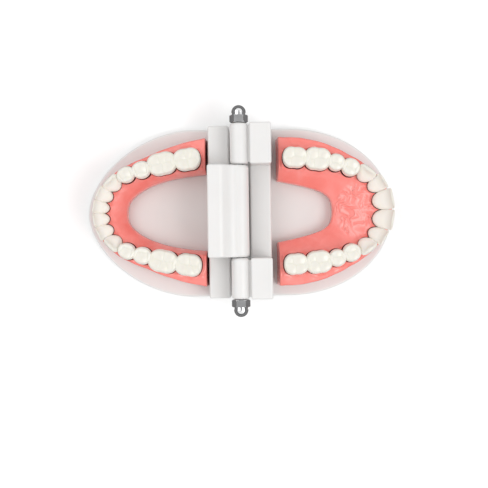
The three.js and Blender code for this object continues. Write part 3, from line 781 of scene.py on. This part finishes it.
def screw_holes(jaw, side):
    """Cutters for each screw: room for the head from below, and a hole through the plate."""
    holes = []
    for place in jaw["screws"]:
        head = mirrored(circle(BOSS_RADIUS - WALL / 2, place, 48), side)
        shank = mirrored(circle(SCREW_HOLE_RADIUS, place, 32), side)
        holes.append(prism("hole", head, -1, PLATE_TOP - WALL, "z"))
        holes.append(prism("hole", shank, -1.5, PLATE_TOP + 1, "z"))
    return holes


def hinge_bore():
    """Cutter of the rod's bore through all the knuckles."""
    return prism("bore", circle(BORE_RADIUS, (0, AXIS_HEIGHT), 64), -BAR_HALF - 1, BAR_HALF + 1, "y")


def even_shading(piece, angle=34):
    """Keeps flat faces flat in the shading, and breaks it at edges sharper than the angle."""
    piece.data.set_sharp_from_angle(angle=math.radians(angle))
    weighted = piece.modifiers.new("shading", "WEIGHTED_NORMAL")
    weighted.keep_sharp = True
    apply_modifiers(piece)


# ---- hinge hardware ----
def make_rod(material):
    """Threaded rod with chamfered ends: a V thread wound round the hinge axis."""
    around = 40
    rings_per_pitch = 8
    steps = int(2 * ROD_HALF / THREAD_PITCH * rings_per_pitch)
    y = np.linspace(-ROD_HALF, ROD_HALF, steps)[:, None]
    angle = (np.arange(around) * TAU / around)[None, :]
    turn = (y / THREAD_PITCH + angle / TAU) % 1.0
    flank = np.clip(np.abs(turn - 0.5) * 2.5 - 0.15, 0, 1)
    chamfer = ROD_RADIUS - ROD_CHAMFER + (ROD_HALF - np.abs(y))
    radius = np.minimum(ROD_RADIUS - THREAD_DEPTH * flank, chamfer)
    rings = np.stack([radius * np.sin(angle), np.broadcast_to(y, radius.shape),
                      AXIS_HEIGHT + radius * np.cos(angle)], -1)
    rod = mesh_object("hinge_rod_threaded", *closed_loft(rings))
    face_outwards(rod)
    finish_piece(rod, "hinge_rod", "rod_steel", material, "hinge_rod")


def make_cap_nut(node, body, material):
    """Hexagon with 30 degree chamfers, a neck and a dome, and a blind threaded bore."""
    low, high = box_mm(node)
    outward = 1.0 if high[1] > 0 else -1.0
    seat = low[1] if outward > 0 else high[1]
    flats = (high[0] - low[0]) / 2
    corner = flats / math.cos(math.pi / 6)
    angle = np.arange(144) * TAU / 144
    hexagon = flats / np.cos((angle + math.pi / 6) % (math.pi / 3) - math.pi / 6)
    rings = []
    ends = np.linspace(0.02, 0.5, 4)
    for y in [0, *ends, *(HEX_HEIGHT - ends[::-1]), HEX_HEIGHT]:
        chamfer = corner - CORNER_CUT + min(y, HEX_HEIGHT - y) * math.tan(math.radians(60))
        rings.append((y, np.minimum(hexagon, chamfer)))
    dome_centre = high[1] - low[1] - DOME_RADIUS
    rings.append((HEX_HEIGHT + 0.02, np.full_like(angle, NECK_RADIUS)))
    rings.append((dome_centre - 0.15, np.full_like(angle, NECK_RADIUS)))
    for rise in np.linspace(-0.05, math.pi / 2, 16)[:-1]:
        level = dome_centre + DOME_RADIUS * math.sin(rise)
        rings.append((level, np.full_like(angle, DOME_RADIUS * math.cos(rise))))
    skin = np.array([np.column_stack([r * np.sin(angle), np.full_like(angle, seat + outward * y),
                                      AXIS_HEIGHT + r * np.cos(angle)]) for y, r in rings])
    nut = mesh_object(node + "_domed", *closed_loft(skin))
    face_outwards(nut)
    cut(nut, nut_bore(seat, outward))
    even_shading(nut, 25)
    finish_piece(nut, body, "nut_chrome", material, node)


def nut_bore(seat, outward):
    """Cutter of a cap nut's threaded bore, with a countersunk mouth."""
    around = 48
    y = np.linspace(-0.3, NUT_BORE_DEPTH, 80)[:, None]
    angle = (np.arange(around) * TAU / around)[None, :]
    turn = (y / THREAD_PITCH + angle / TAU) % 1.0
    threaded = BORE_RADIUS - 0.16 * np.clip(np.abs(turn - 0.5) * 2.4, 0, 1)
    countersink = BORE_RADIUS + 0.35 - np.maximum(y, 0)
    radius = np.maximum(threaded, countersink)
    rings = np.stack([radius * np.sin(angle), np.broadcast_to(seat + outward * y, radius.shape),
                      AXIS_HEIGHT + radius * np.cos(angle)], -1)
    bore = mesh_object("bore", *closed_loft(rings))
    face_outwards(bore)
    return bore


def make_gum_screw(node, body, material):
    """Pan-head self-tapping screw with a cross recess, driven up from below."""
    low, high = box_mm(node)
    centre = (low[:2] + high[:2]) / 2
    head_radius = (high[0] - low[0]) / 2
    foot, tip = low[2], high[2]
    around = 32
    angle = np.arange(around) * TAU / around
    rings = []
    for turn in np.linspace(0, math.pi / 2, 7):
        radius = head_radius * (0.62 + 0.38 * math.sin(turn))
        rings.append((foot + SCREW_HEAD_ROLL * (1 - math.cos(turn)), np.full(around, radius)))
    rings.append((foot + SCREW_HEAD_HEIGHT, np.full(around, head_radius)))
    for z in np.linspace(foot + SCREW_HEAD_HEIGHT + 0.01, tip, 60):
        core = min(SCREW_CORE, 0.1 + (tip - z) * 0.55)
        winding = (z / SCREW_PITCH + angle / TAU) % 1.0
        thread = np.clip(1 - np.abs(winding - 0.5) * 5, 0, 1) * min(SCREW_CREST, (tip - z) * 0.3)
        rings.append((z, core + thread))
    skin = np.array([np.column_stack([centre[0] + r * np.cos(angle), centre[1] + r * np.sin(angle),
                                      np.full(around, z)]) for z, r in rings])
    screw = mesh_object(node + "_pan_head", *closed_loft(skin))
    face_outwards(screw)
    cut(screw, *[recess_slot(centre, foot, turned) for turned in (False, True)])
    even_shading(screw)
    finish_piece(screw, body, "screw_steel", material, node)


def recess_slot(centre, foot, turned):
    """Cutter of one slot of a screw's cross recess; the turned one is a hair shallower."""
    x, y = RECESS_HALF[::-1] if turned else RECESS_HALF
    outline = rectangle(centre[0] - x, centre[0] + x, centre[1] - y, centre[1] + y)
    depth = RECESS_DEPTH if turned else RECESS_DEPTH + 0.01
    return prism("recess", outline, foot - 1, foot + depth, "z")


# ---- materials ----
def new_material(name):
    made = bpy.data.materials.new(name)
    made.use_nodes = True
    return made, made.node_tree.nodes, made.node_tree.links, made.node_tree.nodes["Principled BSDF"]


def noise_node(nodes, links, scale, detail=3.0, distortion=0.0):
    place = nodes.new("ShaderNodeTexCoord")
    texture = nodes.new("ShaderNodeTexNoise")
    texture.inputs["Scale"].default_value = scale
    texture.inputs["Detail"].default_value = detail
    texture.inputs["Distortion"].default_value = distortion
    links.new(place.outputs["Object"], texture.inputs["Vector"])
    return texture


def ramp_node(nodes, links, source, stops):
    ramp = nodes.new("ShaderNodeValToRGB")
    ramp.color_ramp.elements[0].position = stops[0][0]
    ramp.color_ramp.elements[1].position = stops[-1][0]
    for position, colour in stops[1:-1]:
        ramp.color_ramp.elements.new(position)
    for element, (position, colour) in zip(ramp.color_ramp.elements, stops):
        element.position = position
        element.color = (*colour, 1)
    links.new(source, ramp.inputs["Fac"])
    return ramp


def bump_node(nodes, links, height, distance, strength, shader):
    relief = nodes.new("ShaderNodeBump")
    relief.inputs["Distance"].default_value = distance * MM
    relief.inputs["Strength"].default_value = strength
    links.new(height, relief.inputs["Height"])
    links.new(relief.outputs["Normal"], shader.inputs["Normal"])


def base_plastic():
    made, nodes, links, shader = new_material("base_plastic")
    tone = noise_node(nodes, links, 60)
    colour = ramp_node(nodes, links, tone.outputs["Fac"],
                       [(0.3, (0.69, 0.68, 0.67)), (0.7, (0.715, 0.705, 0.695))])
    links.new(colour.outputs["Color"], shader.inputs["Base Color"])
    cloud = noise_node(nodes, links, 350, 4)
    rough = ramp_node(nodes, links, cloud.outputs["Fac"], [(0.3, (0.30,) * 3), (0.7, (0.42,) * 3)])
    links.new(rough.outputs["Color"], shader.inputs["Roughness"])
    shader.inputs["Subsurface Weight"].default_value = 0.06
    shader.inputs["Subsurface Radius"].default_value = (0.002, 0.0015, 0.0012)
    grain = noise_node(nodes, links, 2600, 2)
    bump_node(nodes, links, grain.outputs["Fac"], 0.02, 0.25, shader)
    return made


def gum_resin():
    made, nodes, links, shader = new_material("gum_resin")
    mottle = noise_node(nodes, links, 130, 4, 0.6)
    colour = ramp_node(nodes, links, mottle.outputs["Fac"],
                       [(0.32, (0.85, 0.205, 0.175)), (0.55, (0.88, 0.245, 0.215)),
                        (0.75, (0.90, 0.30, 0.27))])
    # Painted highlight: the crests of the palate's cross ridges are blended towards a light pink by their
    # height.
    ridge_highlight = nodes.new("ShaderNodeAttribute")
    ridge_highlight.attribute_name = "ridge_highlight"
    blend = nodes.new("ShaderNodeMix")
    blend.data_type = "RGBA"
    blend.inputs["B"].default_value = (0.95, 0.48, 0.45, 1)
    links.new(ridge_highlight.outputs["Fac"], blend.inputs["Factor"])
    links.new(colour.outputs["Color"], blend.inputs["A"])
    links.new(painted_crevice_shade(nodes, links, blend.outputs["Result"]), shader.inputs["Base Color"])
    shader.inputs["Roughness"].default_value = 0.24
    shader.inputs["Coat Weight"].default_value = 0.25
    shader.inputs["Coat Roughness"].default_value = 0.12
    shader.inputs["Subsurface Weight"].default_value = 0.12
    shader.inputs["Subsurface Radius"].default_value = (0.003, 0.001, 0.0008)
    stipple = noise_node(nodes, links, 900, 2)
    bump_node(nodes, links, stipple.outputs["Fac"], 0.05, 0.3, shader)
    return made


def painted_crevice_shade(nodes, links, colour):
    """Paints shade into the gum's colour along the crown margins and in the folds: the less open ambient
    occlusion finds the surface, the darker it is painted.
    """
    hollow = nodes.new("ShaderNodeAmbientOcclusion")
    hollow.samples = 12
    hollow.inputs["Distance"].default_value = 1.2 * MM
    openness = ramp_node(nodes, links, hollow.outputs["AO"], [(0.2, (0, 0, 0)), (0.7, (1, 1, 1))])
    blend = nodes.new("ShaderNodeMix")
    blend.data_type = "RGBA"
    # Painted shade: the deep red that the crevices are darkened towards.
    blend.inputs["A"].default_value = (0.30, 0.016, 0.012, 1)
    links.new(openness.outputs["Color"], blend.inputs["Factor"])
    links.new(colour, blend.inputs["B"])
    return blend.outputs["Result"]


def tooth_enamel():
    made, nodes, links, shader = new_material("tooth_enamel")
    height = nodes.new("ShaderNodeAttribute")
    height.attribute_name = "height"
    # Yellower at the neck, and darker towards the biting surfaces and edges: painted shade on the up-facing
    # tops, where the light falls brightest.
    colour = ramp_node(nodes, links, height.outputs["Fac"],
                       [(0.0, (0.82, 0.75, 0.64)), (0.25, (0.86, 0.82, 0.75)), (0.6, (0.87, 0.84, 0.78)),
                        (0.85, (0.76, 0.735, 0.67)), (1.0, (0.70, 0.675, 0.61))])
    groove_tint_and_shade(nodes, links, colour.outputs["Color"], shader)
    shader.inputs["Roughness"].default_value = 0.3
    shader.inputs["Coat Weight"].default_value = 0.15
    shader.inputs["Coat Roughness"].default_value = 0.12
    shader.inputs["Subsurface Weight"].default_value = 0.15
    shader.inputs["Subsurface Radius"].default_value = (0.0015, 0.0012, 0.0008)
    ripple = noise_node(nodes, links, 700, 2)
    bump_node(nodes, links, ripple.outputs["Fac"], 0.03, 0.2, shader)
    return made


def groove_tint_and_shade(nodes, links, colour, shader):
    """Tints the enamel slightly greener in the grooves of the biting surfaces, and darkens it there as
    painted shade.
    """
    groove = nodes.new("ShaderNodeAttribute")
    groove.attribute_name = "groove"
    strength = nodes.new("ShaderNodeMath")
    strength.operation = "MULTIPLY"
    strength.inputs[1].default_value = 0.3
    links.new(groove.outputs["Fac"], strength.inputs[0])
    blend = nodes.new("ShaderNodeMix")
    blend.data_type = "RGBA"
    # Greenish and darker than the enamel: partly a tint, partly painted shade in the grooves.
    blend.inputs["B"].default_value = (0.60, 0.61, 0.50, 1)
    links.new(strength.outputs["Value"], blend.inputs["Factor"])
    links.new(colour, blend.inputs["A"])
    links.new(blend.outputs["Result"], shader.inputs["Base Color"])


def plated_metal(name, colour, low_roughness, high_roughness, scale):
    made, nodes, links, shader = new_material(name)
    shader.inputs["Metallic"].default_value = 1.0
    patch = noise_node(nodes, links, scale, 4)
    dull = tuple(0.86 * c for c in colour)
    tint = ramp_node(nodes, links, patch.outputs["Fac"], [(0.3, dull), (0.7, colour)])
    links.new(tint.outputs["Color"], shader.inputs["Base Color"])
    rough = ramp_node(nodes, links, patch.outputs["Fac"],
                      [(0.3, (low_roughness,) * 3), (0.7, (high_roughness,) * 3)])
    links.new(rough.outputs["Color"], shader.inputs["Roughness"])
    return made


def floor_paint():
    """Pale and matt. Mirror rays see it dark, as they would see the unlit edges of a studio."""
    made, nodes, links, shader = new_material("floor_paint")
    ray = nodes.new("ShaderNodeLightPath")
    tone = ramp_node(nodes, links, ray.outputs["Is Glossy Ray"], [(0.0, (0.93,) * 3), (1.0, (0.16,) * 3)])
    links.new(tone.outputs["Color"], shader.inputs["Base Color"])
    shader.inputs["Roughness"].default_value = 0.9
    shader.inputs["Specular IOR Level"].default_value = 0.1
    return made


# ---- stage ----
def make_floor():
    size = 2000.0
    corners = [(-size, -size, -0.02), (size, -size, -0.02), (size, size, -0.02), (-size, size, -0.02)]
    floor = mesh_object("floor", corners, [(0, 1, 2, 3)])
    floor.data.materials.append(floor_paint())


def area_light(name, place, target, size, watts):
    lamp = bpy.data.lights.new(name, "AREA")
    lamp.shape = "RECTANGLE"
    lamp.size, lamp.size_y = size
    lamp.energy = watts
    holder = bpy.data.objects.new(name, lamp)
    holder.location = place
    holder.rotation_euler = (Vector(target) - Vector(place)).to_track_quat("-Z", "Y").to_euler()
    bpy.context.scene.collection.objects.link(holder)


def make_lights():
    area_light("key", (0.42, -0.22, 0.72), (0, 0, 0), (0.4, 0.4), 2.3)
    area_light("fill", (-0.4, 0.1, 0.7), (0, 0, 0), (0.6, 0.6), 1.3)
    world = bpy.data.worlds.new("studio")
    bpy.context.scene.world = world
    world.use_nodes = True
    nodes, links = world.node_tree.nodes, world.node_tree.links
    background = nodes["Background"]
    background.inputs["Strength"].default_value = 0.87
    direction = nodes.new("ShaderNodeTexCoord")
    parts = nodes.new("ShaderNodeSeparateXYZ")
    links.new(direction.outputs["Generated"], parts.inputs["Vector"])
    room = ramp_node(nodes, links, parts.outputs["Z"],
                     [(0.0, (0.9, 0.9, 0.9)), (0.06, (0.10, 0.10, 0.10)), (0.35, (0.16, 0.16, 0.16)),
                      (0.5, (1.1, 1.1, 1.1)), (0.85, (1.2, 1.2, 1.2)), (1.0, (0.45, 0.45, 0.45))])
    ray = nodes.new("ShaderNodeLightPath")
    blend = nodes.new("ShaderNodeMix")
    blend.data_type = "RGBA"
    blend.inputs["A"].default_value = (1, 1, 1, 1)
    links.new(ray.outputs["Is Glossy Ray"], blend.inputs["Factor"])
    links.new(room.outputs["Color"], blend.inputs["B"])
    links.new(blend.outputs["Result"], background.inputs["Color"])


def make_camera():
    """Straight down from 450 mm above the table, a little turned, with the picture's middle lying
    towards the front of the model."""
    camera = bpy.data.cameras.new("camera")
    camera.sensor_width = 36.0
    camera.lens = 71.4
    holder = bpy.data.objects.new("camera", camera)
    holder.location = (0.0016, -0.0144, 0.45)
    holder.rotation_euler = (0, 0, math.radians(-0.8))
    bpy.context.scene.collection.objects.link(holder)
    bpy.context.scene.camera = holder


def build_model():
    plastic, resin, enamel = base_plastic(), gum_resin(), tooth_enamel()
    for jaw_name in JAWS:
        teeth = jaw_teeth(jaw_name)
        make_base(jaw_name, plastic)
        make_gum(jaw_name, teeth, resin)
        for tooth in teeth:
            make_tooth(tooth, enamel)
    zinc = plated_metal("rod_steel", (0.62, 0.64, 0.65), 0.22, 0.36, 400)
    chrome = plated_metal("nut_chrome", (0.86, 0.86, 0.87), 0.04, 0.09, 300)
    bright_zinc = plated_metal("screw_steel", (0.66, 0.67, 0.68), 0.2, 0.32, 500)
    make_rod(zinc)
    make_cap_nut("cap_nut_back", "back_nut", chrome)
    make_cap_nut("cap_nut_front", "front_nut", chrome)
    for jaw_name, jaw in JAWS.items():
        for k in range(1, len(jaw["screws"]) + 1):
            make_gum_screw(f"{jaw_name}_gum_screw_{k}", jaw["body"], bright_zinc)


build_model()
make_floor()
make_lights()
make_camera()
bpy.context.scene.view_settings.view_transform = "Standard"
